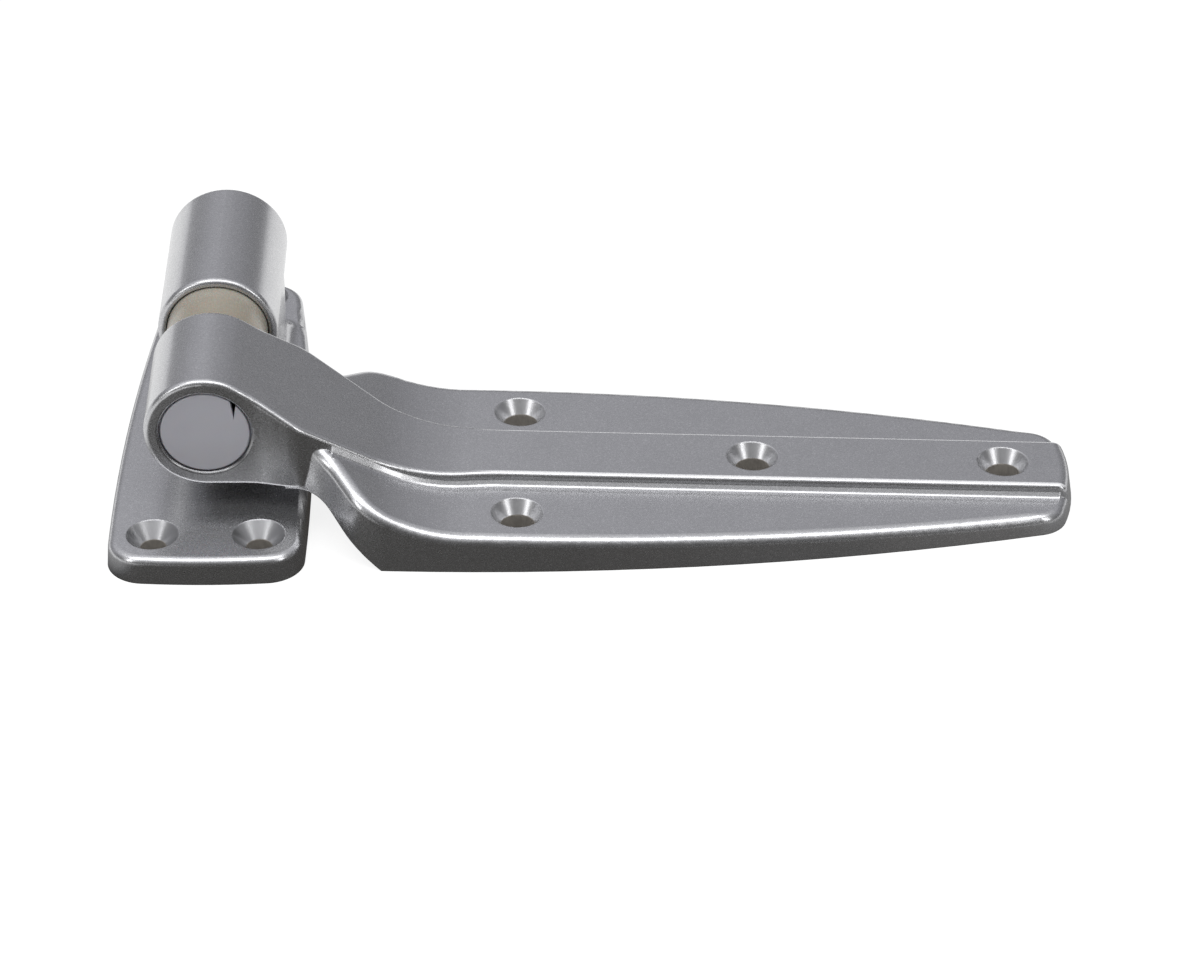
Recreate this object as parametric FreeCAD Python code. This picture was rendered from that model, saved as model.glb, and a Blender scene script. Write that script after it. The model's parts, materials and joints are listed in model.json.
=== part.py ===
# Flush hinge for an insulated door: a cam-lift strap hinge, shut, lying on its back.
#
# The jamb leaf (flange) and the door leaf (strap) are castings whose backs lie in one plane, z = 0.
# The origin is the middle of the flange's back. +X runs along the strap, +Y along the pin from the
# strap barrel to the flange barrel, and +Z out of the door's face. All lengths are in millimetres.
import FreeCAD, Part
import math
import os

Vec = FreeCAD.Vector
UP = Vec(0, 0, 1)
ALONG_PIN = Vec(0, 1, 0)

# Pin axis and barrels
pin_height = 28.0
barrel_radius = 15.0
flange_barrel_inset = 13.3
flange_barrel_length = 45.6
flange_barrel_floor = 5.0
strap_barrel_length = 32.4
barrel_gap = 14.3
barrel_edge_round = 1.3

# Flange plate: bowed sides that draw in towards the far end
flange_length = 129.6
flange_half_width = 24.2
flange_widest_inset = 25.3
flange_side_radius = 765.0
flange_end_radius = 190.0
flange_near_corner = 9.5
flange_far_corner = 9.5
flange_thickness = 6.9
flange_edge_round = 2.0
flange_draft = 4.0

# Pedestal that carries the flange barrel
pedestal_half_width = 14.6
pedestal_setback = 9.3
pedestal_corner_round = 2.5
pedestal_foot_round = 4.0

# Strap: S-shaped arm, raised spine and a lower wing on each side
strap_tip_x = 211.3
arm_slope = 33.8
arm_flare = 2.3
arm_flare_x = 22.0
arm_flare_start = 3.0
arm_flare_hollow = 20.0
arm_flare_crest = 8.0
spine_waist_half = 13.1
spine_waist_x = 43.5
spine_half = 10.1
spine_start_x = 69.0
spine_ogee_round = 60.0
spine_height = 12.6
spine_tip_height = 8.0
spine_height_x = 60.0
arm_blend_radius = 42.0
spine_edge_round = 1.3
spine_foot_width = 1.1
spine_foot_height = 1.5
spine_foot_round = 1.2
spine_foot_start_x = 30.6
spine_foot_inset = 1.5
wing_step = 3.2
wing_arm_step = 2.2
wing_half_width = 33.8
wing_widest_x = 70.0
wing_tip_ledge = 6.83
wing_shoulder_x = 32.8
wing_shoulder_half = 26.8
wing_shoulder_angle = 52.0
wing_root_inset = 0.3
wing_root_setback = 3.0
wing_root_round = 12.0
wing_shoulder_round = 14.0
wing_edge_round = 2.6
strap_tip_radius = 45.0
strap_tip_corner_gap = 0.2
strap_draft = 8.0
underside_angle = 39.0
underside_start_x = 42.7
underside_blend_radius = 14.0

# Cored backs of both castings
wall = 3.2
core_cell = 19.0
core_rib = 2.6
core_roof = 3.2
screw_boss_radius = 8.2

# Screw holes
countersink_radius = 6.45
strap_hole_radius = 4.15
strap_sink_angle = 33.0
flange_hole_radius = 3.1
flange_sink_angle = 42.0
flange_near_hole_inset = 11.7
flange_near_hole_x = 12.9
flange_far_hole_inset = 7.8
flange_far_hole_x = 7.6
strap_pair_x = 75.7
strap_pair_inset = 11.3
strap_middle_hole_x = 133.5
strap_tip_hole_x = 195.5

# Bores, cams, pin and cap
flange_bore_radius = 12.9
strap_bore_radius = 11.3
bore_mouth_chamfer = 0.4
collar_clearance = 0.25
seat_clearance = 0.05
pin_radius = 4.75
pin_clearance = 0.05
pin_socket_depth = 2.6
pin_reach_in_strap = 22.0
pin_end_chamfer = 0.8
cam_rise = 10.0
cam_gap = 0.15
cam_land = 0.6
lower_cam_base = 7.0
upper_cam_spigot = 18.0
cam_key_width = 3.0
cam_key_height = 1.0
flange_key_angle = -90.0
strap_key_angle = -32.0
cap_radius_gap = 0.4
cap_recess = 0.4
cap_disc = 2.2
cap_skirt = 7.0
cap_skirt_wall = 1.6
cap_notch_width = 1.6
cap_notch_length = 3.6
cap_notch_angle = 43.0
cap_edge_round = 0.4

# Overlaps that let joined bodies cross cleanly instead of only touching
foot_wall_sink = 0.15
foot_wing_sink = 0.04

# Places that follow from the sizes above
flange_barrel_end = flange_length / 2 - flange_barrel_inset
flange_barrel_mouth = flange_barrel_end - flange_barrel_length
strap_far_y = flange_barrel_mouth - barrel_gap
strap_near_y = strap_far_y - strap_barrel_length
strap_mid_y = (strap_far_y + strap_near_y) / 2
bore_floor_y = flange_barrel_end - flange_barrel_floor
cam_trough_y = bore_floor_y - lower_cam_base
cam_crest_y = cam_trough_y - cam_rise
key_slot_width = cam_key_width + 2 * seat_clearance
arm_flare_half = strap_barrel_length / 2 + arm_flare
wing_root_half = arm_flare_half - wing_root_inset
wing_root_x = arm_flare_x - wing_root_setback
arm_touch_x = barrel_radius * math.sin(math.radians(arm_slope))
arm_touch_z = pin_height + barrel_radius * math.cos(math.radians(arm_slope))
strap_end_x = strap_tip_x + wing_half_width
tip_reach = strap_tip_x - wing_widest_x
wing_bow = wing_half_width - spine_half - wing_tip_ledge
wing_side_radius = (tip_reach ** 2 + wing_bow ** 2) / (2 * wing_bow)
strap_tip_corner = wing_tip_ledge - strap_tip_corner_gap
strap_pair_half = wing_half_width - strap_pair_inset


def unit(vector):
    """The vector scaled to length one."""
    return vector * (1 / vector.Length)


def on_side(x, z):
    """A point of a side outline, seen along the pin."""
    return Vec(x, 0, z)


def meet_circles(centre_a, radius_a, centre_b, radius_b, left):
    """Where two circles cross; left picks the crossing left of the way from a to b."""
    way = centre_b - centre_a
    span = way.Length
    along = (radius_a ** 2 - radius_b ** 2 + span ** 2) / (2 * span)
    aside = math.sqrt(radius_a ** 2 - along ** 2)
    if not left:
        aside = -aside
    ahead = unit(way)
    return centre_a + ahead * along + Vec(-ahead.y, ahead.x, 0) * aside


def arc_about(centre, start, finish):
    """The short arc about a centre from one point to the other."""
    radius = (start - centre).Length
    middle = centre + unit((start - centre) + (finish - centre)) * radius
    return Part.Arc(start, middle, finish).toShape()


def rounded_wire(corners, place):
    """A closed outline through corners (u, v, radius), each rounded by its own radius."""
    arcs = []
    for number, (u, v, radius) in enumerate(corners):
        corner = Vec(u, v, 0)
        before = corners[number - 1]
        after = corners[(number + 1) % len(corners)]
        if radius == 0:
            arcs.append((corner, None, corner))
            continue
        back = unit(Vec(before[0], before[1], 0) - corner)
        ahead = unit(Vec(after[0], after[1], 0) - corner)
        turn = back.getAngle(ahead)
        reach = radius / math.tan(turn / 2)
        middle = corner + unit(back + ahead) * (radius / math.sin(turn / 2) - radius)
        arcs.append((corner + back * reach, middle, corner + ahead * reach))
    edges = []
    for number, (start, middle, finish) in enumerate(arcs):
        if middle is not None:
            points = [place(p.x, p.y) for p in (start, middle, finish)]
            edges.append(Part.Arc(*points).toShape())
        following = arcs[(number + 1) % len(arcs)][0]
        edges.append(Part.makeLine(place(finish.x, finish.y), place(following.x, following.y)))
    return Part.Wire(edges)


def cylinder(radius, start_y, length, x=0.0, z=None):
    """A cylinder along the pin's direction."""
    centre_z = pin_height if z is None else z
    return Part.makeCylinder(radius, length, Vec(x, start_y, centre_z), ALONG_PIN)


def mouth(radius, face_y):
    """Cone that breaks the edge of a bore where it opens on a face that looks towards -Y."""
    start = Vec(0, face_y - 1, pin_height)
    return Part.makeCone(radius + bore_mouth_chamfer + 1, radius, bore_mouth_chamfer + 1, start, ALONG_PIN)


def soften(shape, radius, wanted):
    """Round the edges for which the test holds."""
    edges = [edge for edge in shape.Edges if wanted(edge)]
    return shape.makeFillet(radius, edges)


def facing(face):
    """The way a face looks at its middle."""
    first_u, last_u, first_v, last_v = face.ParameterRange
    return face.normalAt((first_u + last_u) / 2, (first_v + last_v) / 2)


def edges_between(shape, first, second):
    """Edges shared by a face that passes the first test and a face that passes the second."""
    ones = [edge for face in shape.Faces if first(face) for edge in face.Edges]
    others = [edge for face in shape.Faces if second(face) for edge in face.Edges]
    return [edge for edge in ones if any(edge.isSame(other) for other in others)]


def screw_hole(x, y, top, radius, angle):
    """A countersunk hole from a face at height top down through the back."""
    cone_depth = (countersink_radius - radius) / math.tan(math.radians(angle))
    shank = Part.makeCylinder(radius, top + 2, Vec(x, y, -1), UP)
    cone = Part.makeCone(radius, countersink_radius, cone_depth, Vec(x, y, top - cone_depth), UP)
    above = Part.makeCylinder(countersink_radius, 3, Vec(x, y, top), UP)
    return shank.fuse([cone, above])


# Flange leaf

def flange_outline(height, inset):
    """Plate outline at a height, drawn in by inset: bowed sides, crowned ends, round corners."""
    near_end = -flange_length / 2
    far_end = flange_length / 2
    side_centre = Vec(flange_half_width - flange_side_radius, near_end + flange_widest_inset, 0)
    near_centre = Vec(0, near_end + flange_end_radius, 0)
    far_centre = Vec(0, far_end - flange_end_radius, 0)
    near_corner = meet_circles(side_centre, flange_side_radius - flange_near_corner,
                               near_centre, flange_end_radius - flange_near_corner, False)
    far_corner = meet_circles(side_centre, flange_side_radius - flange_far_corner,
                              far_centre, flange_end_radius - flange_far_corner, True)
    points = [
        near_centre + unit(near_corner - near_centre) * (flange_end_radius - inset),
        side_centre + unit(near_corner - side_centre) * (flange_side_radius - inset),
        side_centre + unit(far_corner - side_centre) * (flange_side_radius - inset),
        far_centre + unit(far_corner - far_centre) * (flange_end_radius - inset),
    ]
    lift = Vec(0, 0, height)
    right = [p + lift for p in points]
    left = [Vec(-p.x, p.y, height) for p in points]
    mirror_centre = [Vec(-c.x, c.y, height) for c in (near_corner, side_centre, far_corner)]
    edges = [
        arc_about(near_corner + lift, right[0], right[1]),
        arc_about(side_centre + lift, right[1], right[2]),
        arc_about(far_corner + lift, right[2], right[3]),
        Part.Arc(right[3], Vec(0, far_end - inset, height), left[3]).toShape(),
        arc_about(mirror_centre[2], left[3], left[2]),
        arc_about(mirror_centre[1], left[2], left[1]),
        arc_about(mirror_centre[0], left[1], left[0]),
        Part.Arc(left[0], Vec(0, near_end + inset, height), right[0]).toShape(),
    ]
    return Part.Wire(edges)


def make_flange_leaf():
    """Plate, pedestal and closed barrel in one casting, with its screw holes and cored back."""
    draw_in = flange_thickness * math.tan(math.radians(flange_draft))
    plate = Part.makeLoft([flange_outline(0, 0), flange_outline(flange_thickness, draw_in)], True, True)
    plate = soften(plate, flange_edge_round,
                   lambda edge: edge.BoundBox.ZMin > flange_thickness - 0.01)
    barrel = cylinder(barrel_radius, flange_barrel_mouth, flange_barrel_length)
    barrel = soften(barrel, barrel_edge_round, lambda edge: edge.BoundBox.YLength < 0.01)
    pedestal_start = flange_barrel_mouth + barrel_edge_round
    pedestal_length = flange_barrel_length - pedestal_setback - barrel_edge_round
    pedestal = Part.makeBox(2 * pedestal_half_width, pedestal_length, pin_height - core_roof,
                            Vec(-pedestal_half_width, pedestal_start, core_roof))
    pedestal = soften(pedestal, pedestal_corner_round,
                      lambda edge: edge.BoundBox.ZLength > pedestal_corner_round)
    leaf = plate.fuse([barrel, pedestal])
    foot_reach = pedestal_half_width + 0.01
    foot_length = pedestal_length / 2 + 0.01
    pedestal_middle = pedestal_start + pedestal_length / 2
    leaf = soften(leaf, pedestal_foot_round,
                  lambda edge: abs(edge.BoundBox.ZMax - flange_thickness) < 0.01
                  and edge.BoundBox.ZLength < 0.01
                  and abs(edge.CenterOfMass.x) < foot_reach
                  and abs(edge.CenterOfMass.y - pedestal_middle) < foot_length)
    roof = flange_thickness - core_roof
    inner = Part.makeLoft([flange_outline(-1, wall), flange_outline(roof, wall)], True, True)
    leaf = leaf.cut(core_pockets(inner, -flange_half_width, flange_half_width,
                                 -flange_length / 2, flange_length / 2, flange_holes()))
    bore = cylinder(flange_bore_radius, flange_barrel_mouth, bore_floor_y - flange_barrel_mouth)
    socket = cylinder(pin_radius + pin_clearance, bore_floor_y - 1, pin_socket_depth + 1)
    slot = key_bar(flange_key_angle, flange_bore_radius + cam_key_height, key_slot_width,
                   flange_barrel_mouth - 1, bore_floor_y - flange_barrel_mouth + 1)
    leaf = leaf.cut([bore, socket, slot, mouth(flange_bore_radius, flange_barrel_mouth)])
    holes = [screw_hole(x, y, flange_thickness, flange_hole_radius, flange_sink_angle)
             for x, y in flange_holes()]
    return leaf.cut(holes)


def flange_holes():
    """Screw places on the flange: a near pair and a far pair."""
    near = [(side * flange_near_hole_x, flange_near_hole_inset - flange_length / 2) for side in (-1, 1)]
    far = [(side * flange_far_hole_x, flange_length / 2 - flange_far_hole_inset) for side in (-1, 1)]
    return near + far


def core_pockets(inner, low_x, high_x, low_y, high_y, holes):
    """Pockets of a cored back: a grid of cells inside the walls, clear of the screw bosses."""
    columns = max(1, round((high_x - low_x) / (core_cell + core_rib)))
    rows = max(1, round((high_y - low_y) / (core_cell + core_rib)))
    step_x = (high_x - low_x) / columns
    step_y = (high_y - low_y) / rows
    height = pin_height
    cells = []
    for column in range(columns):
        for row in range(rows):
            cells.append(Part.makeBox(step_x - core_rib, step_y - core_rib, height,
                                      Vec(low_x + column * step_x + core_rib / 2,
                                          low_y + row * step_y + core_rib / 2, -height / 2)))
    bosses = [Part.makeCylinder(screw_boss_radius, 2 * height, Vec(x, y, -height), UP) for x, y in holes]
    return Part.makeCompound(cells).common(inner).cut(bosses)


# Strap leaf

def slope_line(drop, x):
    """Height of the arm's sloping face, tangent to the barrel, lowered square to itself by drop."""
    slope = math.radians(arm_slope)
    return arm_touch_z - drop / math.cos(slope) - math.tan(slope) * (x - arm_touch_x)


def flat_line(drop, x):
    """Height of the strap's nearly flat face, which falls slightly towards the tip."""
    fall = (spine_height - spine_tip_height) / (strap_tip_x - spine_height_x)
    return spine_height - drop - fall * (x - spine_height_x)


def top_line(start_x, slope_drop, flat_drop):
    """Side view of the arm's and strap's upper face from start_x on, lowered by the drops."""
    slope_fall = math.tan(math.radians(arm_slope))
    flat_fall = (spine_height - spine_tip_height) / (strap_tip_x - spine_height_x)
    bend_x = (slope_line(slope_drop, 0) - flat_line(flat_drop, 0)) / (slope_fall - flat_fall)
    return [
        (start_x, slope_line(slope_drop, start_x), 0),
        (bend_x, flat_line(flat_drop, bend_x), arm_blend_radius),
        (strap_end_x, flat_line(flat_drop, strap_end_x), 0),
    ]


def side_prism(corners):
    """A side outline with rounded corners as a solid wider than the strap."""
    reach = 2 * wing_half_width
    prism = Part.Face(rounded_wire(corners, on_side)).extrude(ALONG_PIN * (2 * reach))
    prism.translate(Vec(0, strap_mid_y - reach, 0))
    return prism


def side_slab(upper):
    """Solid under an upper line, whose underside follows the arm and then lies on the door."""
    under_z = pin_height - barrel_radius
    under_x = underside_start_x - under_z / math.tan(math.radians(underside_angle))
    return side_prism(upper + [
        (strap_end_x, 0, 0),
        (underside_start_x, 0, 0),
        (under_x, under_z, underside_blend_radius),
        (upper[0][0], under_z, 0),
    ])


def both_sides(corners):
    """Half an outline (x, half width, radius) from start to tip, completed by its mirror image."""
    return corners + [(x, -half, radius) for x, half, radius in reversed(corners)]


def wing_outline(height, grow):
    """Plan of the wings: root inside the arm, slanting shoulder, long bowed side, rounded tip."""
    angle = math.radians(wing_shoulder_angle)
    along = Vec(math.cos(angle), math.sin(angle), 0)
    outward = Vec(-math.sin(angle), math.cos(angle), 0)
    on_shoulder = Vec(wing_shoulder_x, wing_shoulder_half, 0)
    side_centre = Vec(wing_widest_x, wing_half_width - wing_side_radius, 0)
    tip_centre = Vec(strap_tip_x - strap_tip_radius, 0, 0)
    root_y = wing_root_half + wing_root_round
    root_base = on_shoulder + outward * wing_root_round
    root_centre = root_base + along * ((root_y - root_base.y) / along.y)
    shoulder_base = on_shoulder - outward * wing_shoulder_round
    gap = shoulder_base - side_centre
    reach = wing_side_radius - wing_shoulder_round
    middle = gap.dot(along)
    travel = math.sqrt(middle ** 2 - gap.Length ** 2 + reach ** 2) - middle
    shoulder_centre = shoulder_base + along * travel
    tip_corner = meet_circles(side_centre, wing_side_radius - strap_tip_corner,
                              tip_centre, strap_tip_radius - strap_tip_corner, False)
    half = [
        Vec(wing_root_x, wing_root_half + grow, 0),
        root_centre - Vec(0, wing_root_round - grow, 0),
        root_centre - outward * (wing_root_round - grow),
        shoulder_centre + outward * (wing_shoulder_round + grow),
        side_centre + unit(shoulder_centre - side_centre) * (wing_side_radius + grow),
        side_centre + unit(tip_corner - side_centre) * (wing_side_radius + grow),
        tip_centre + unit(tip_corner - tip_centre) * (strap_tip_radius + grow),
    ]
    centres = [None, root_centre, None, shoulder_centre, side_centre, tip_corner]
    edges = []
    for side in (1, -1):
        flip = lambda p: Vec(p.x, strap_mid_y + side * p.y, height)
        for number, centre in enumerate(centres):
            start = flip(half[number])
            finish = flip(half[number + 1])
            if centre is None:
                edges.append(Part.makeLine(start, finish))
            else:
                edges.append(arc_about(flip(centre), start, finish))
    tips = [Vec(half[-1].x, strap_mid_y + side * half[-1].y, height) for side in (1, -1)]
    nose = Vec(strap_tip_x + grow, strap_mid_y, height)
    edges.append(Part.Arc(tips[0], nose, tips[1]).toShape())
    roots = [Vec(half[0].x, strap_mid_y + side * half[0].y, height) for side in (1, -1)]
    edges.append(Part.makeLine(roots[0], roots[1]))
    return Part.Wire(Part.__sortEdges__(edges))


def wing_block(grow, base, top):
    """The wings' plan as a block with drafted walls, at its set width by the wings' top edge."""
    edge_height = spine_height - wing_step
    lean = math.tan(math.radians(strap_draft))
    return Part.makeLoft([wing_outline(base, grow + (edge_height - base) * lean),
                          wing_outline(top, grow + (edge_height - top) * lean)], True, True)


def wide_box(start_x, end_x):
    """A box from one x to another, wider and taller than the strap."""
    return Part.makeBox(end_x - start_x, 4 * wing_half_width, 2 * pin_height,
                        Vec(start_x, strap_mid_y - 2 * wing_half_width, -1))


def past_tip(grow):
    """Space past the tip, up to the wings' outline grown or drawn in."""
    return wide_box(strap_tip_x - wing_half_width, strap_end_x).cut(wing_block(grow, -1, pin_height))


def strap_holes():
    """Screw places on the strap, with the height of the face each one is sunk into."""
    pair_top = flat_line(wing_step, strap_pair_x)
    places = [(strap_pair_x, strap_mid_y + side * strap_pair_half, pair_top) for side in (-1, 1)]
    for x in (strap_middle_hole_x, strap_tip_hole_x):
        places.append((x, strap_mid_y, flat_line(0, x)))
    return places


def is_top(face):
    """Holds for faces that look up and out of the door."""
    return facing(face).z > 0.5


def is_wall(face):
    """Holds for faces that look towards either end of the pin."""
    return abs(facing(face).y) > 0.9


def make_wings():
    """The two lower wings, one body across the strap, with a broad round along the top edge."""
    slab = side_slab(top_line(wing_root_x, wing_arm_step, wing_step))
    wings = wing_block(0, 0, arm_touch_z).common(slab)
    rim = edges_between(wings, is_top,
                        lambda face: abs(facing(face).z) < 0.3 and face.CenterOfMass.x > arm_flare_x)
    return wings.makeFillet(wing_edge_round, rim)


def arm_plan(grow, start_x):
    """Plan of the arm and spine: flares from the barrel, then narrows in an ogee to the spine."""
    half_barrel = strap_barrel_length / 2
    outline = both_sides([
        (start_x, half_barrel + grow, 0),
        (arm_touch_x + arm_flare_start, half_barrel + grow, arm_flare_hollow),
        (arm_flare_x, arm_flare_half + grow, arm_flare_crest),
        (spine_waist_x, spine_waist_half + grow, spine_ogee_round),
        (spine_start_x, spine_half + grow, spine_ogee_round),
        (strap_end_x, spine_half + grow, 0),
    ])
    return Part.Face(rounded_wire(outline, lambda x, y: Vec(x, strap_mid_y + y, 0)))


def make_arm():
    """Barrel, arm and spine: one S-shaped bar with lightly rounded edges and a rounder nose."""
    block = arm_plan(0, 0).extrude(UP * (pin_height + 2 * barrel_radius))
    bar = block.common(side_slab([(0, pin_height, 0)] + top_line(arm_touch_x, 0, 0)))
    bar = bar.cut(past_tip(0))
    bar = bar.fuse(cylinder(barrel_radius, strap_near_y, strap_barrel_length)).removeSplitter()
    bar = bar.makeFillet(wing_edge_round, edges_between(bar, is_top, lambda face: facing(face).x > 0.9))
    rim = edges_between(bar, is_wall, lambda face: abs(facing(face).y) < 0.5 and facing(face).x < 0.9
                        and face.BoundBox.ZMax > 1)
    return bar.makeFillet(spine_edge_round, rim)


def looks_at_spine(face):
    """Holds for walls beside the spine that look towards its middle."""
    aside = face.CenterOfMass.y - strap_mid_y
    return facing(face).y * aside < -0.5 * abs(aside)


def looks_down(face):
    """Holds for faces that look down at the wings."""
    return facing(face).z < -0.8


def foot_cutter(side):
    """Space above one wing, its corner at the spine cut back to the foot's slope and hollow round."""
    corner = edges_between(side, looks_down, looks_at_spine)
    owner = next(face for face in side.Faces if any(edge.isSame(corner[0]) for edge in face.Edges))
    out = spine_foot_width + foot_wall_sink
    rise = spine_foot_height + foot_wing_sink
    # A chamfer measures its first length on the first face that owns the edge.
    if looks_down(owner):
        side = side.makeChamfer(out, rise, corner)
    else:
        side = side.makeChamfer(rise, out, corner)
    toe = edges_between(side, looks_down, lambda face: -0.8 < facing(face).z < -0.3)
    return side.makeFillet(spine_foot_round, toe)


def make_spine_foot():
    """Sloping foot with a hollow round, where the spine stands on the wings."""
    start_x = spine_foot_start_x
    tall = UP * (pin_height + 2 * barrel_radius)
    spine = arm_plan(-foot_wall_sink, 0).extrude(tall)
    near_spine = arm_plan(spine_foot_width + spine_foot_round, 0).extrude(tall)
    above = side_prism(top_line(start_x, wing_arm_step + foot_wing_sink, wing_step + foot_wing_sink)
                       + [(strap_end_x, tall.z, 0), (start_x, tall.z, 0)])
    around = above.cut(spine)
    raised = side_slab(top_line(arm_touch_x, wing_arm_step - spine_foot_height,
                                wing_step - spine_foot_height))
    foot = raised.common(near_spine).common(wide_box(start_x, strap_end_x))
    return foot.cut([foot_cutter(side) for side in around.Solids] + [past_tip(-spine_foot_inset)])


def core_slab():
    """What the strap's core may fill: from below the back up to the roof left under the wings."""
    start_x = underside_start_x + wall
    drop = wing_step + core_roof
    return side_prism([
        (start_x, flat_line(drop, start_x), 0),
        (strap_tip_x, flat_line(drop, strap_tip_x), 0),
        (strap_tip_x, -1, 0),
        (start_x, -1, 0),
    ])


def make_strap_leaf():
    """Door leaf: barrel, arm, spine and wings in one casting, with screw holes and a cored back."""
    leaf = make_arm().fuse([make_wings(), make_spine_foot()])
    inner = wing_block(-wall, -1, spine_height).common(core_slab())
    cores = core_pockets(inner, underside_start_x + wall, strap_tip_x - wall,
                         strap_mid_y - wing_half_width, strap_mid_y + wing_half_width,
                         [(x, y) for x, y, top in strap_holes()])
    leaf = leaf.cut(cores)
    bore = cylinder(strap_bore_radius, strap_near_y, strap_barrel_length)
    slot_length = upper_cam_spigot + seat_clearance
    slot = key_bar(strap_key_angle, strap_bore_radius + cam_key_height, key_slot_width,
                   strap_far_y - slot_length, slot_length + 1)
    leaf = leaf.cut([bore, slot, mouth(strap_bore_radius, strap_near_y)])
    holes = [screw_hole(x, y, top, strap_hole_radius, strap_sink_angle)
             for x, y, top in strap_holes()]
    return leaf.cut(holes)


# Cams, pin and cap

def cam_lobes(outer):
    """Two opposite lobes above z = 0 about the z axis, each a rising and a falling helical ramp."""
    inner = pin_radius + pin_clearance
    depth = cam_rise + 1
    path = Part.makeHelix(4 * cam_rise, cam_rise, (inner + outer) / 2)
    section = Part.makePolygon([
        Vec(inner - 1, 0, 0),
        Vec(outer + 1, 0, 0),
        Vec(outer + 1, 0, -depth),
        Vec(inner - 1, 0, -depth),
        Vec(inner - 1, 0, 0),
    ])
    rising = Part.Wire(path.Edges).makePipeShell([section], True, True)
    falling = rising.mirror(Vec(0, 0, 0), Vec(1, 0, 0))
    lobe = rising.fuse(falling)
    opposite = lobe.copy()
    opposite.rotate(Vec(0, 0, 0), UP, 180)
    stack = Part.makeCylinder(outer, cam_rise - cam_land)
    return stack.common(lobe.fuse(opposite))


def make_cam(outer, base):
    """A cam on the z axis: a plain base below z = 0 and its lobes above, bored for the pin."""
    body = cam_lobes(outer).fuse(Part.makeCylinder(outer, base, Vec(0, 0, -base))).removeSplitter()
    bore = Part.makeCylinder(pin_radius + pin_clearance, base + cam_rise + 2, Vec(0, 0, -base - 1))
    return body.cut(bore)


def key_bar(angle, reach, width, start_y, length):
    """A key or its slot: a bar along the pin that ends at a radius, at an angle up from +X."""
    depth = cam_key_height + 1
    bar = Part.makeBox(depth, length, width, Vec(reach - depth, start_y, -width / 2))
    bar.rotate(Vec(0, 0, 0), -ALONG_PIN, angle)
    bar.translate(Vec(0, 0, pin_height))
    return bar


def make_lower_cam():
    """Lower cam, seated on the floor of the flange barrel, its lobes towards the strap."""
    cam = make_cam(flange_bore_radius - seat_clearance, lower_cam_base)
    cam.rotate(Vec(0, 0, 0), Vec(1, 0, 0), 90)
    cam.translate(Vec(0, cam_trough_y, pin_height))
    key_reach = flange_bore_radius + cam_key_height - seat_clearance
    key = key_bar(flange_key_angle, key_reach, cam_key_width, cam_trough_y, lower_cam_base)
    return cam.fuse(key).removeSplitter()


def make_upper_cam():
    """Upper cam: lobes in the lower cam's troughs, a collar in the flange barrel, a keyed spigot."""
    collar_start = cam_crest_y - cam_gap
    cam = make_cam(flange_bore_radius - collar_clearance, collar_start - strap_far_y)
    cam.rotate(Vec(0, 0, 0), UP, 90)
    cam.rotate(Vec(0, 0, 0), Vec(1, 0, 0), -90)
    cam.translate(Vec(0, collar_start, pin_height))
    spigot_y = strap_far_y - upper_cam_spigot
    key_reach = strap_bore_radius + cam_key_height - seat_clearance
    spigot = cylinder(strap_bore_radius - seat_clearance, spigot_y, upper_cam_spigot)
    spigot = spigot.fuse(key_bar(strap_key_angle, key_reach, cam_key_width, spigot_y, upper_cam_spigot))
    spigot = spigot.cut(cylinder(pin_radius + pin_clearance, spigot_y - 1, upper_cam_spigot + 2))
    return cam.fuse(spigot).removeSplitter()


def make_hinge_pin():
    """Steel pin from its socket in the flange barrel, through both cams, into the strap barrel."""
    start_y = strap_far_y - pin_reach_in_strap
    pin = cylinder(pin_radius, start_y, bore_floor_y + pin_socket_depth - start_y)
    return pin.makeChamfer(pin_end_chamfer, [edge for edge in pin.Edges if edge.BoundBox.YLength < 0.01])


def make_end_cap():
    """Plug in the near end of the strap barrel: a disc just inside the mouth, with a gripping skirt."""
    disc_radius = strap_bore_radius - cap_radius_gap
    skirt_radius = strap_bore_radius - seat_clearance
    disc_y = strap_near_y + cap_recess
    disc = cylinder(disc_radius, disc_y, cap_disc)
    disc = soften(disc, cap_edge_round, lambda edge: edge.BoundBox.YMax < disc_y + 0.01)
    skirt = cylinder(skirt_radius, disc_y + cap_disc / 2, cap_skirt)
    skirt = skirt.cut(cylinder(skirt_radius - cap_skirt_wall, disc_y + cap_disc, cap_skirt))
    rim_angle = math.radians(cap_notch_angle)
    rim_x = disc_radius * math.cos(rim_angle)
    rim_z = pin_height + disc_radius * math.sin(rim_angle)
    corners = [
        Vec(rim_x - cap_notch_width, disc_y, rim_z + cap_notch_width),
        Vec(rim_x, disc_y, rim_z + cap_notch_width),
        Vec(rim_x - cap_notch_width / 2, disc_y, rim_z - cap_notch_length),
    ]
    notch = Part.Face(Part.makePolygon(corners + corners[:1])).extrude(ALONG_PIN * (cap_disc + cap_skirt))
    return disc.fuse(skirt).cut(notch)


os.makedirs("parts", exist_ok=True)
pieces = {
    "flange_leaf": make_flange_leaf(),
    "strap_leaf": make_strap_leaf(),
    "lower_cam": make_lower_cam(),
    "upper_cam": make_upper_cam(),
    "hinge_pin": make_hinge_pin(),
    "end_cap": make_end_cap(),
}
for name, shape in pieces.items():
    shape.exportStep("parts/" + name + ".step")
    print(name, shape.isValid(), len(shape.Solids), round(shape.Volume))
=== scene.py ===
# Looks of the flush hinge: finishes for its castings, cams, pin and plug, and a plain studio round it.
# All places are in metres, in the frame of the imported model.
import bpy
import json
import math
from mathutils import Matrix, Vector


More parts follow.
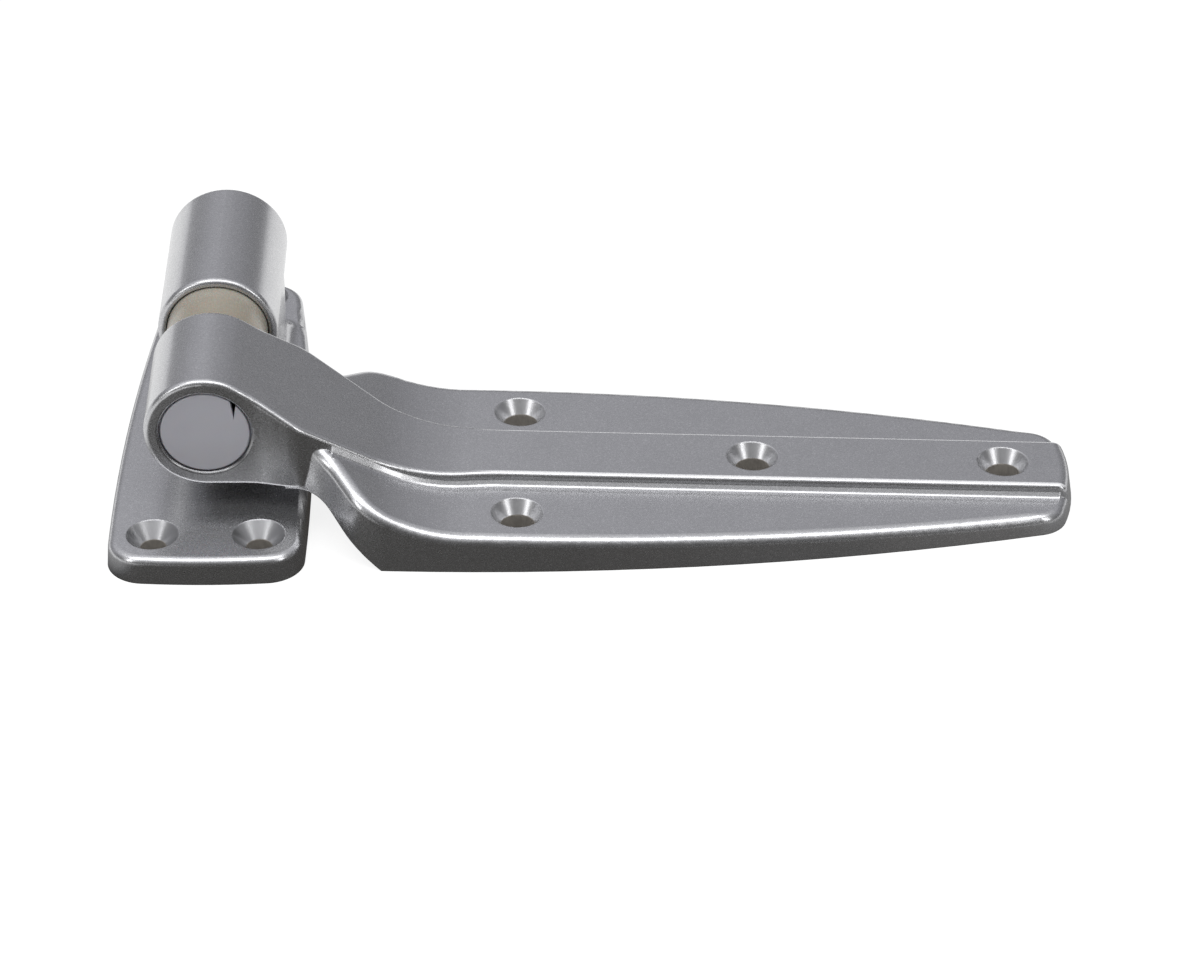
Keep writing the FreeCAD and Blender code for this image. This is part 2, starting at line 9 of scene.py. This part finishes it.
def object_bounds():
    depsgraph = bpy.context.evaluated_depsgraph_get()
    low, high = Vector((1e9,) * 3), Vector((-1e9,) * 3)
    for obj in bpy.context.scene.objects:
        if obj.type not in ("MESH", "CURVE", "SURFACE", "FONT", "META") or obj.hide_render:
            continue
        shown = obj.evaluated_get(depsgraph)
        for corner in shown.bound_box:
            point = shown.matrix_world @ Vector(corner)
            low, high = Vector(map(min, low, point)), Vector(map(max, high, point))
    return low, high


# The photograph's camera: its place, its angles in degrees, and its lens
CAMERA_PLACE = Vector((0.10217, -1.04041, 0.68284))
CAMERA_AZIMUTH = 0.362
CAMERA_ELEVATION = 33.779
CAMERA_ROLL = -0.372
LENS_MM = 147.785
SENSOR_MM = 36.0
CLIP_START = 0.01
CLIP_END = 50.0

# Screw holes: heights just over each leaf's top, the X where the strap's finish starts and the stretch before
# it where the flange's ends, the countersinks' radius (a little over the model's 6.45 mm), and the width over
# which a hole's finish ends
FLANGE_TOP_Z = 0.0071
STRAP_TOP_Z = 0.0130
STRAP_START_X = 0.04
LEAF_BLEND = 0.005
SINK_RADIUS = 0.0065
HOLE_BLEND = 0.0001

# Painted highlight along the spine's top edges, a pale and less metallic line: the spine's middle, the edges'
# distance from it and half their width, the top's height at X = 0 and its fall along X, the depths under the
# top where the painted highlight ends and where it is full, and where it starts along X and the stretch over
# which it comes in
SPINE_Y = -0.0246
EDGE_HIGHLIGHT_REACH = 0.00925
EDGE_HIGHLIGHT_HALF_WIDTH = 0.00045
SPINE_TOP_Z = 0.014424
SPINE_FALL = 0.030403
EDGE_HIGHLIGHT_DEPTH_NONE = 0.0011
EDGE_HIGHLIGHT_DEPTH_FULL = 0.0008
EDGE_HIGHLIGHT_START_X = 0.064
EDGE_HIGHLIGHT_START_BLEND = 0.01

# Seam round the plug in the strap barrel's mouth: the pin axis's height, the seam's radius, half its width,
# its far end along the pin, and the length over which it fades there
PIN_Z = 0.028
SEAM_RADIUS = 0.0116
SEAM_HALF_WIDTH = 0.0005
SEAM_FAR_Y = -0.0398
SEAM_BLEND = 0.001

# Ends of the nylon that shows between the barrels, from the strap barrel to the flange barrel
COLLAR_NEAR_Y = -0.0084
COLLAR_FAR_Y = 0.0059

# Height of the plug's lowest and highest points
CAP_LOW_Z = 0.017
CAP_HIGH_Z = 0.039

# Colours are linear, and a ramp's stops are (position, colour). A scale is a texture's cells per metre, and a
# bump is its strength and its height.

# Casting: the coat's flakes and mottle, the cut metal of the countersinks, painted darker in the flange leaf
# as painted shade, the bare metal of the plain holes, a painted highlight along the spine's top edges and a
# darker ring round the plug
FLAKE_SCALE = 4200
FLAKE_TINTS = [(0.0, (0.525, 0.527, 0.540)), (0.85, (0.612, 0.614, 0.628)), (1.0, (0.725, 0.727, 0.740))]
FLAKE_ROUGHNESS = (0.26, 0.32)
FLAKE_BUMP = (0.006, 0.0001)
MOTTLE_SCALE = 90
MOTTLE_TINTS = [(0.3, (0.96, 0.96, 0.96)), (0.7, (1.0, 1.0, 1.0))]
PEEL_SCALE = 900
PEEL_BUMP = (0.02, 0.0002)
CUT_SCALE = 60
CUT_TINTS = [(0.3, (0.570, 0.572, 0.585)), (0.7, (0.610, 0.612, 0.625))]
CUT_TINTS_PAINTED_DARKER_IN_FLANGE = [(0.3, (0.390, 0.392, 0.402)), (0.7, (0.430, 0.432, 0.442))]
CUT_ROUGHNESS = (0.33, 0.33, 0.33)
BARE_SCALE = 400
BARE_TINTS = [(0.3, (0.270, 0.250, 0.225)), (0.7, (0.360, 0.335, 0.300))]
PAINTED_EDGE_HIGHLIGHT_TINT = (0.86, 0.86, 0.87)
SEAM_TINT = (0.55, 0.55, 0.55)
COAT_METALLIC = 0.92
DULL_METALLIC = 0.15
COAT_WEIGHT = 0.5
COAT_ROUGHNESS = 0.10
EDGE_ROUND = 0.0005
EDGE_SAMPLES = 8

# Nylon: its cream, and the light and shade painted along the collar, from the flange barrel to the strap
# barrel
NYLON_SCALE = 60
NYLON_TINTS = [(0.3, (0.335, 0.300, 0.240)), (0.7, (0.390, 0.355, 0.290))]
COLLAR_PAINTED_LIGHT_AND_SHADE = [
    (0.00, (1.25, 1.30, 1.38)),
    (0.20, (1.05, 1.07, 1.09)),
    (0.45, (1.00, 1.00, 1.00)),
    (1.00, (0.90, 0.88, 0.85)),
]
NYLON_GLOSS_SCALE = 900
NYLON_ROUGHNESS = (0.22, 0.32)
NYLON_BUMP_SCALE = 1500
NYLON_BUMP = (0.10, 0.0001)
NYLON_SUBSURFACE = 0.15

# Pin: ground lines round it, about 2650 to the metre
PIN_LINES_SCALE = 833.33
PIN_LINES_DISTORTION = 1.0
PIN_TINTS = [(0.0, (0.50, 0.50, 0.50)), (1.0, (0.62, 0.62, 0.62))]
PIN_GLOSS_SCALE = 400
PIN_ROUGHNESS = (0.22, 0.36)
PIN_BUMP = (0.08, 0.00005)

# Plug: its grey-white, and shade painted on from its top down
CAP_SCALE = 45
CAP_TINTS = [(0.3, (0.555, 0.555, 0.600)), (0.7, (0.585, 0.585, 0.630))]
CAP_PAINTED_SHADE = [(0.0, (1.0, 1.0, 1.0)), (0.55, (0.97, 0.97, 0.97)), (1.0, (0.84, 0.83, 0.82))]
CAP_GLOSS_SCALE = 800
CAP_ROUGHNESS = (0.34, 0.46)
CAP_BUMP_SCALE = 2200
CAP_BUMP = (0.08, 0.0001)
CAP_SUBSURFACE = 0.1

SUBSURFACE_DEPTH = 0.002
COARSE_DETAIL = 3.0
FINE_DETAIL = 2.0

# What the surfaces see of the studio by the Z of the direction, from the horizon at 0 to straight up at 1:
# behind the object, in front of it, and how both change from left to right. The last two are the stretches
# of the direction's Y and X over which one gives way to the other.
SKY_BEHIND = [
    (0.00, (0.95, 0.95, 0.97)),
    (0.04, (0.85, 0.85, 0.87)),
    (0.09, (0.21, 0.21, 0.22)),
    (0.30, (0.25, 0.25, 0.26)),
    (0.46, (0.345, 0.345, 0.37)),
    (0.66, (0.53, 0.53, 0.56)),
    (0.85, (0.68, 0.68, 0.70)),
    (1.00, (0.95, 0.95, 0.97)),
]
SKY_IN_FRONT = [
    (0.00, (0.030, 0.028, 0.026)),
    (0.17, (0.05, 0.05, 0.05)),
    (0.37, (0.11, 0.11, 0.11)),
    (0.56, (0.24, 0.24, 0.24)),
    (0.72, (0.46, 0.46, 0.47)),
    (0.85, (0.72, 0.72, 0.74)),
    (1.00, (0.95, 0.95, 0.97)),
]
SKY_LEFT_TO_RIGHT = [
    (0.00, (1.18, 1.18, 1.18)),
    (1.00, (0.88, 0.88, 0.88)),
]
SKY_DEPTH = (-0.3, 0.3)
SKY_WIDTH = (-0.12, 0.12)

# What glossy surfaces see of the floor: the lighter of the two, over stretches of its Y and X
FLOOR_FRONT_TO_BACK = [
    (0.00, (0.056, 0.053, 0.049)),
    (0.40, (0.056, 0.053, 0.049)),
    (0.80, (1.00, 1.00, 1.00)),
    (1.00, (1.00, 1.00, 1.00)),
]
FLOOR_LEFT_TO_RIGHT = [
    (0.00, (1.00, 1.00, 1.00)),
    (0.06, (0.40, 0.40, 0.40)),
    (0.10, (0.00, 0.00, 0.00)),
    (0.36, (0.00, 0.00, 0.00)),
    (0.50, (0.064, 0.060, 0.056)),
    (0.66, (0.085, 0.082, 0.079)),
    (0.83, (0.15, 0.145, 0.14)),
    (0.90, (0.28, 0.28, 0.28)),
    (1.00, (1.00, 1.00, 1.00)),
]
FLOOR_DEPTH = (-0.15, 0.15)
FLOOR_WIDTH = (-0.05, 0.25)

# The floor: half its side, its own light and its paper to the camera, and its paper to other surfaces
FLOOR_HALF = 6.0
FLOOR_GLOW = (0.86, 0.86, 0.86)
FLOOR_PAPER = (0.22, 0.22, 0.22)
FLOOR_PAPER_UNSEEN = (0.30, 0.30, 0.30)

# Softboxes: name, place from the object's middle, width, height and watts
SOFTBOXES = [
    ("above", (0.0, -0.50, 1.63), 2.2, 0.85, 13.0),
    ("right", (1.20, -1.05, 0.80), 0.45, 0.9, 4.0),
    ("left", (-1.20, -1.05, 0.80), 0.45, 0.9, 4.0),
]

WHITE = (1.0, 1.0, 1.0)
METRES_PER_MM = 0.001

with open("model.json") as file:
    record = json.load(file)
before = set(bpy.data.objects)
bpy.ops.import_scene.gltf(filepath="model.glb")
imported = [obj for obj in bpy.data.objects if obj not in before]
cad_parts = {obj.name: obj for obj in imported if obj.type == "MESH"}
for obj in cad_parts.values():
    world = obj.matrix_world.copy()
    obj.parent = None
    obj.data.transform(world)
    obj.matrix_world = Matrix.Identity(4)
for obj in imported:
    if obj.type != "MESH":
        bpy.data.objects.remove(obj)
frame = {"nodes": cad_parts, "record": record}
cad_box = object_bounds()


def opaque(colour):
    """A colour with full alpha."""
    return colour + (1.0,)


# Node trees

class Nodes:
    """A node tree, with short calls to add and join its nodes. Most return the new node's output."""

    def __init__(self, tree):
        self.tree = tree

    def add(self, kind, **values):
        """Add a node; each value sets an input of that name, with underscores for spaces."""
        node = self.tree.nodes.new(kind)
        for name, value in values.items():
            node.inputs[name.replace("_", " ")].default_value = value
        return node

    def join(self, output, target):
        """Join an output to an input."""
        self.tree.links.new(output, target)

    def feed(self, node, **values):
        """Give a node's inputs their values by name: an output is joined, a number or colour is set."""
        for name, value in values.items():
            if isinstance(value, bpy.types.NodeSocket):
                self.join(value, node.inputs[name])
            else:
                node.inputs[name].default_value = opaque(value) if isinstance(value, tuple) else value

    def axes(self, vector):
        """The X, Y and Z of a vector."""
        node = self.add("ShaderNodeSeparateXYZ")
        self.join(vector, node.inputs["Vector"])
        return node.outputs["X"], node.outputs["Y"], node.outputs["Z"]

    def ramp(self, factor, stops, interpolation="LINEAR"):
        """A colour ramp over a factor."""
        node = self.add("ShaderNodeValToRGB")
        node.color_ramp.interpolation = interpolation
        elements = node.color_ramp.elements
        while len(elements) < len(stops):
            elements.new(0.5)
        for element, (position, colour) in zip(elements, stops):
            element.position = position
            element.color = opaque(colour)
        self.join(factor, node.inputs["Fac"])
        return node.outputs["Color"]

    def map_range(self, value, low, high, to_low, to_high):
        """Map a value from low..high to to_low..to_high, and keep it there."""
        node = self.add("ShaderNodeMapRange", From_Min=low, From_Max=high, To_Min=to_low, To_Max=to_high)
        self.join(value, node.inputs["Value"])
        return node.outputs["Result"]

    def spread(self, factor, low, high):
        """Map a factor from 0..1 to low..high."""
        return self.map_range(factor, 0.0, 1.0, low, high)

    def rise(self, value, low, high):
        """Factor that rises from zero to one as a value rises from low to high."""
        return self.map_range(value, low, high, 0.0, 1.0)

    def fall(self, value, low, high):
        """Factor that falls from one to zero as a value rises from low to high."""
        return self.map_range(value, low, high, 1.0, 0.0)

    def math(self, operation, first, second=None):
        """One sum of an output and, where it takes two, another output or a number."""
        node = self.add("ShaderNodeMath")
        node.operation = operation
        self.join(first, node.inputs[0])
        if isinstance(second, bpy.types.NodeSocket):
            self.join(second, node.inputs[1])
        elif second is not None:
            node.inputs[1].default_value = second
        return node.outputs["Value"]

    def vector_math(self, operation, first, second):
        """The node of one sum of a vector output and a fixed vector."""
        node = self.add("ShaderNodeVectorMath")
        node.operation = operation
        self.join(first, node.inputs[0])
        node.inputs[1].default_value = second
        return node

    def least(self, values):
        """The least of several outputs."""
        lowest, *others = values
        for value in others:
            lowest = self.math("MINIMUM", lowest, value)
        return lowest

    def off_by(self, value, middle):
        """How far a value is from a middle, either way."""
        return self.math("ABSOLUTE", self.math("SUBTRACT", value, middle))

    def mix(self, factor, first, second, blend="MIX"):
        """Mix two colours, each an output or a value."""
        node = self.add("ShaderNodeMix")
        node.data_type = "RGBA"
        node.blend_type = blend
        self.feed(node, Factor=factor, A=first, B=second)
        return node.outputs["Result"]

    def mix_shaders(self, factor, first, second):
        """Mix two shaders."""
        node = self.add("ShaderNodeMixShader")
        for source, target in zip((factor, first, second), node.inputs):
            self.join(source, target)
        return node.outputs["Shader"]

    def seen_directly(self, light_path):
        """Factor that is one for what the camera sees, also through something clear."""
        return self.math("MAXIMUM", light_path.outputs["Is Camera Ray"],
                         light_path.outputs["Is Transmission Ray"])


class Finish(Nodes):
    """A new material's nodes, over the object's own coordinates."""

    def __init__(self, name):
        self.material = bpy.data.materials.new(name)
        self.material.use_nodes = True
        super().__init__(self.material.node_tree)
        self.shader = self.tree.nodes["Principled BSDF"]
        self.place = self.add("ShaderNodeTexCoord").outputs["Object"]

    def noise(self, scale, detail=FINE_DETAIL):
        """Noise from about 0.3 to 0.7."""
        node = self.add("ShaderNodeTexNoise", Scale=scale, Detail=detail)
        self.join(self.place, node.inputs["Vector"])
        return node.outputs["Fac"]

    def cells(self, scale):
        """Three random numbers for each cell of a fine pattern."""
        node = self.add("ShaderNodeTexVoronoi", Scale=scale)
        self.join(self.place, node.inputs["Vector"])
        split = self.add("ShaderNodeSeparateColor")
        self.join(node.outputs["Color"], split.inputs["Color"])
        return split.outputs["Red"], split.outputs["Green"], split.outputs["Blue"]

    def screw_hole_masks(self):
        """Factors that are one in the countersinks, in the plain holes below them, and in the flange leaf."""
        plan = self.vector_math("MULTIPLY", self.place, (1.0, 1.0, 0.0)).outputs["Vector"]
        holes = [(self.vector_math("DISTANCE", plan, centre).outputs["Value"], radius)
                 for centre, radius in screw_holes()]
        to_axis = self.least([away for away, _ in holes])
        to_wall = self.least([self.math("SUBTRACT", away, radius) for away, radius in holes])
        x, _, z = self.axes(self.place)
        in_flange = self.fall(x, STRAP_START_X - LEAF_BLEND, STRAP_START_X)
        in_strap = self.rise(x, STRAP_START_X - LEAF_BLEND, STRAP_START_X)
        below_flange_top = self.fall(z, FLANGE_TOP_Z, FLANGE_TOP_Z + HOLE_BLEND)
        below_strap_top = self.fall(z, STRAP_TOP_Z, STRAP_TOP_Z + HOLE_BLEND)
        low = self.math("MINIMUM", below_strap_top, self.math("MAXIMUM", below_flange_top, in_strap))
        sinks = self.math("MULTIPLY", low, self.fall(to_axis, SINK_RADIUS - HOLE_BLEND, SINK_RADIUS))
        bores = self.math("MULTIPLY", low, self.fall(to_wall, HOLE_BLEND / 2, HOLE_BLEND))
        return sinks, bores, in_flange

    def painted_edge_highlights(self):
        """Factor that is one along both upper edges of the spine, where a highlight is painted."""
        x, y, z = self.axes(self.place)
        off_edge = self.off_by(self.off_by(y, SPINE_Y), EDGE_HIGHLIGHT_REACH)
        on_edge = self.fall(off_edge, EDGE_HIGHLIGHT_HALF_WIDTH / 2, EDGE_HIGHLIGHT_HALF_WIDTH)
        level = self.math("ADD", z, self.math("MULTIPLY", x, SPINE_FALL))
        near_top = self.rise(level, SPINE_TOP_Z - EDGE_HIGHLIGHT_DEPTH_NONE, SPINE_TOP_Z - EDGE_HIGHLIGHT_DEPTH_FULL)
        past_start = self.rise(x, EDGE_HIGHLIGHT_START_X, EDGE_HIGHLIGHT_START_X + EDGE_HIGHLIGHT_START_BLEND)
        return self.math("MULTIPLY", on_edge, self.math("MULTIPLY", near_top, past_start))

    def plug_seam(self):
        """Factor that is one in the strap barrel's mouth, round the plug."""
        across = self.vector_math("MULTIPLY", self.place, (1.0, 0.0, 1.0)).outputs["Vector"]
        from_pin = self.vector_math("DISTANCE", across, (0.0, 0.0, PIN_Z)).outputs["Value"]
        on_seam = self.fall(self.off_by(from_pin, SEAM_RADIUS), SEAM_HALF_WIDTH / 2, SEAM_HALF_WIDTH)
        _, y, _ = self.axes(self.place)
        return self.math("MULTIPLY", on_seam, self.fall(y, SEAM_FAR_Y, SEAM_FAR_Y + SEAM_BLEND))

    def rounded_edges(self):
        """Normals that round every sharp edge a little, as casting, tumbling and paint leave it."""
        node = self.add("ShaderNodeBevel", Radius=EDGE_ROUND)
        node.samples = EDGE_SAMPLES
        return node.outputs["Normal"]

    def bump(self, height, strength, distance, below=None):
        """Normals of a height field, on top of other normals if they are given."""
        node = self.add("ShaderNodeBump")
        self.feed(node, Height=height, Strength=strength, Distance=distance)
        if below is not None:
            self.join(below, node.inputs["Normal"])
        return node.outputs["Normal"]

    def finish(self, colour, roughness, normal, **values):
        """Give the shader its colour, roughness and normals, and set other inputs; return the material."""
        self.feed(self.shader, Normal=normal, Roughness=roughness, **{"Base Color": colour})
        for name, value in values.items():
            self.shader.inputs[name.replace("_", " ")].default_value = value
        return self.material


def screw_holes():
    """Centre in plan and radius of every screw hole, from the record's bolt patterns."""
    holes = []
    for mount in frame["record"]["mounts"]:
        if mount["kind"] != "bolt_pattern":
            continue
        dims = mount["dims"]
        middle = Vector(mount["pos_m"])
        spacing = Vector((dims.get("spacing_x_mm", 0.0), dims.get("spacing_y_mm", 0.0), 0.0)) * METRES_PER_MM
        radius = dims["hole_r_mm"] * METRES_PER_MM
        holes += [(middle + side * spacing / 2, radius) for side in (-1, 1)]
    return holes


# Materials

def make_casting():
    """Aluminium-coloured coat with fine flakes, a faint mottle and orange peel, and machined screw holes."""
    nodes = Finish("aluminium_coat")
    sinks, bores, in_flange = nodes.screw_hole_masks()
    edge_highlight = nodes.painted_edge_highlights()
    flake_tint, flake_gloss, flake_height = nodes.cells(FLAKE_SCALE)

    mottle = nodes.ramp(nodes.noise(MOTTLE_SCALE, COARSE_DETAIL), MOTTLE_TINTS)
    colour = nodes.mix(1.0, nodes.ramp(flake_tint, FLAKE_TINTS), mottle, "MULTIPLY")
    cut = nodes.noise(CUT_SCALE)
    # In the flange leaf the countersinks' cut metal is painted darker: painted shade.
    cut = nodes.mix(in_flange, nodes.ramp(cut, CUT_TINTS), nodes.ramp(cut, CUT_TINTS_PAINTED_DARKER_IN_FLANGE))
    colour = nodes.mix(sinks, colour, cut)
    # A darker ring round the plug in the strap barrel's mouth.
    colour = nodes.mix(1.0, colour, nodes.mix(nodes.plug_seam(), WHITE, SEAM_TINT), "MULTIPLY")
    # Painted highlight along the spine's top edges: pale here, and less metallic below.
    colour = nodes.mix(edge_highlight, colour, PAINTED_EDGE_HIGHLIGHT_TINT)
    bare = nodes.ramp(nodes.noise(BARE_SCALE, COARSE_DETAIL), BARE_TINTS)
    colour = nodes.mix(bores, colour, bare)

    dull = nodes.math("MAXIMUM", bores, edge_highlight)
    nodes.join(nodes.spread(dull, COAT_METALLIC, DULL_METALLIC), nodes.shader.inputs["Metallic"])
    roughness = nodes.mix(sinks, nodes.spread(flake_gloss, *FLAKE_ROUGHNESS), CUT_ROUGHNESS)

    normal = nodes.rounded_edges()
    layers = ((nodes.noise(PEEL_SCALE), PEEL_BUMP), (flake_height, FLAKE_BUMP))
    for height, (strength, distance) in layers:
        normal = nodes.bump(height, nodes.spread(sinks, strength, 0.0), distance, normal)
    return nodes.finish(colour, roughness, normal, Coat_Weight=COAT_WEIGHT, Coat_Roughness=COAT_ROUGHNESS)


def make_nylon():
    """Natural nylon: cream and slightly translucent, with light painted on where the collar enters the flange
    barrel and shade painted towards the strap barrel.
    """
    nodes = Finish("natural_nylon")
    tint = nodes.ramp(nodes.noise(NYLON_SCALE, COARSE_DETAIL), NYLON_TINTS)
    _, y, _ = nodes.axes(nodes.place)
    # Painted light and shade along the collar: paler at the flange barrel, darker at the strap barrel.
    along = nodes.ramp(nodes.fall(y, COLLAR_NEAR_Y, COLLAR_FAR_Y), COLLAR_PAINTED_LIGHT_AND_SHADE)
    return nodes.finish(
        nodes.mix(1.0, tint, along, "MULTIPLY"),
        nodes.spread(nodes.noise(NYLON_GLOSS_SCALE), *NYLON_ROUGHNESS),
        nodes.bump(nodes.noise(NYLON_BUMP_SCALE), *NYLON_BUMP),
        Subsurface_Weight=NYLON_SUBSURFACE, Subsurface_Scale=SUBSURFACE_DEPTH)


def make_steel():
    """Ground steel with fine lines round the pin."""
    nodes = Finish("ground_steel")
    wave = nodes.add("ShaderNodeTexWave", Scale=PIN_LINES_SCALE, Distortion=PIN_LINES_DISTORTION,
                     Detail=FINE_DETAIL)
    wave.bands_direction = "Y"
    nodes.join(nodes.place, wave.inputs["Vector"])
    lines = wave.outputs["Fac"]
    return nodes.finish(
        nodes.ramp(lines, PIN_TINTS),
        nodes.spread(nodes.noise(PIN_GLOSS_SCALE), *PIN_ROUGHNESS),
        nodes.bump(lines, *PIN_BUMP),
        Metallic=1.0)


def make_cap_plastic():
    """Grey-white moulded plastic: a little grainy, half matt, and painted darker towards the plug's lower
    edge as painted shade.
    """
    nodes = Finish("plug_plastic")
    tint = nodes.ramp(nodes.noise(CAP_SCALE), CAP_TINTS)
    _, _, z = nodes.axes(nodes.place)
    # Painted shade: darker towards the plug's lower edge.
    painted_shade = nodes.ramp(nodes.fall(z, CAP_LOW_Z, CAP_HIGH_Z), CAP_PAINTED_SHADE)
    return nodes.finish(
        nodes.mix(1.0, tint, painted_shade, "MULTIPLY"),
        nodes.spread(nodes.noise(CAP_GLOSS_SCALE), *CAP_ROUGHNESS),
        nodes.bump(nodes.noise(CAP_BUMP_SCALE), *CAP_BUMP),
        Subsurface_Weight=CAP_SUBSURFACE, Subsurface_Scale=SUBSURFACE_DEPTH)


def dress(finishes):
    """Give each CAD node its finish."""
    for name, material in finishes.items():
        mesh = frame["nodes"][name].data
        mesh.materials.clear()
        mesh.materials.append(material)


# Studio

def make_floor(low_z):
    """Floor: white with a soft shadow to the camera; to glossy surfaces dark in front of the object."""
    mesh = bpy.data.meshes.new("floor")
    corners = [(x * FLOOR_HALF, y * FLOOR_HALF, low_z) for x, y in ((-1, -1), (1, -1), (1, 1), (-1, 1))]
    mesh.from_pydata(corners, [], [(0, 1, 2, 3)])
    floor = bpy.data.objects.new("floor", mesh)
    bpy.context.collection.objects.link(floor)
    material = bpy.data.materials.new("floor")
    material.use_nodes = True
    mesh.materials.append(material)
    nodes = Nodes(material.node_tree)
    nodes.tree.nodes.clear()

    paper = nodes.add("ShaderNodeBsdfDiffuse", Color=opaque(FLOOR_PAPER))
    glow = nodes.add("ShaderNodeEmission", Color=opaque(FLOOR_GLOW))
    to_camera = nodes.add("ShaderNodeAddShader")
    nodes.join(paper.outputs["BSDF"], to_camera.inputs[0])
    nodes.join(glow.outputs["Emission"], to_camera.inputs[1])

    x, y, _ = nodes.axes(nodes.add("ShaderNodeTexCoord").outputs["Object"])
    by_depth = nodes.ramp(nodes.rise(y, *FLOOR_DEPTH), FLOOR_FRONT_TO_BACK, "EASE")
    by_width = nodes.ramp(nodes.rise(x, *FLOOR_WIDTH), FLOOR_LEFT_TO_RIGHT, "EASE")
    mirrored = nodes.add("ShaderNodeEmission")
    nodes.join(nodes.mix(1.0, by_depth, by_width, "LIGHTEN"), mirrored.inputs["Color"])
    unseen = nodes.add("ShaderNodeBsdfDiffuse", Color=opaque(FLOOR_PAPER_UNSEEN))

    light_path = nodes.add("ShaderNodeLightPath")
    to_surfaces = nodes.mix_shaders(light_path.outputs["Is Glossy Ray"], unseen.outputs["BSDF"],
                                    mirrored.outputs["Emission"])
    surface = nodes.mix_shaders(nodes.seen_directly(light_path), to_surfaces, to_camera.outputs["Shader"])
    nodes.join(surface, nodes.add("ShaderNodeOutputMaterial").inputs["Surface"])


def make_world():
    """White to the camera; to the object a soft studio: white low behind and overhead, dim low in front."""
    world = bpy.data.worlds.new("studio")
    bpy.context.scene.world = world
    world.use_nodes = True
    nodes = Nodes(world.node_tree)
    x, y, z = nodes.axes(nodes.add("ShaderNodeTexCoord").outputs["Generated"])
    in_front = nodes.ramp(z, SKY_IN_FRONT, "EASE")
    behind = nodes.ramp(z, SKY_BEHIND, "EASE")
    sky = nodes.mix(nodes.rise(y, *SKY_DEPTH), in_front, behind)
    by_width = nodes.ramp(nodes.rise(x, *SKY_WIDTH), SKY_LEFT_TO_RIGHT, "EASE")
    sky = nodes.mix(1.0, sky, by_width, "MULTIPLY")
    seen = nodes.seen_directly(nodes.add("ShaderNodeLightPath"))
    nodes.join(nodes.mix(seen, sky, WHITE), nodes.tree.nodes["Background"].inputs["Color"])


def make_lights(middle):
    """A wide softbox above the camera and a narrow one at each side of it, aimed at the object's middle."""
    for name, offset, width, height, watts in SOFTBOXES:
        light = bpy.data.lights.new(name, "AREA")
        light.shape = "RECTANGLE"
        light.size = width
        light.size_y = height
        light.energy = watts
        lamp = bpy.data.objects.new(name, light)
        bpy.context.collection.objects.link(lamp)
        lamp.location = middle + Vector(offset)
        lamp.rotation_euler = (-Vector(offset)).to_track_quat("-Z", "Y").to_euler()


def make_camera():
    """The photograph's camera."""
    azimuth = math.radians(CAMERA_AZIMUTH)
    elevation = math.radians(CAMERA_ELEVATION)
    back = Vector((math.sin(azimuth) * math.cos(elevation),
                   -math.cos(azimuth) * math.cos(elevation),
                   math.sin(elevation)))
    right = Vector((math.cos(azimuth), math.sin(azimuth), 0.0))
    up = back.cross(right)
    turn = Matrix((right, up, back)).transposed() @ Matrix.Rotation(math.radians(CAMERA_ROLL), 3, "Z")
    data = bpy.data.cameras.new("photo_camera")
    data.sensor_fit = "HORIZONTAL"
    data.sensor_width = SENSOR_MM
    data.lens = LENS_MM
    data.clip_start = CLIP_START
    data.clip_end = CLIP_END
    camera = bpy.data.objects.new("photo_camera", data)
    bpy.context.collection.objects.link(camera)
    camera.matrix_world = Matrix.Translation(CAMERA_PLACE) @ turn.to_4x4()
    bpy.context.scene.camera = camera


casting = make_casting()
nylon = make_nylon()
dress({
    "flange_leaf": casting,
    "strap_leaf": casting,
    "lower_cam": nylon,
    "upper_cam": nylon,
    "hinge_pin": make_steel(),
    "end_cap": make_cap_plastic(),
})
low, high = (Vector(corner) for corner in cad_box)
make_floor(low.z)
make_world()
make_lights((low + high) / 2)
make_camera()
bpy.context.scene.view_settings.view_transform = "Standard"
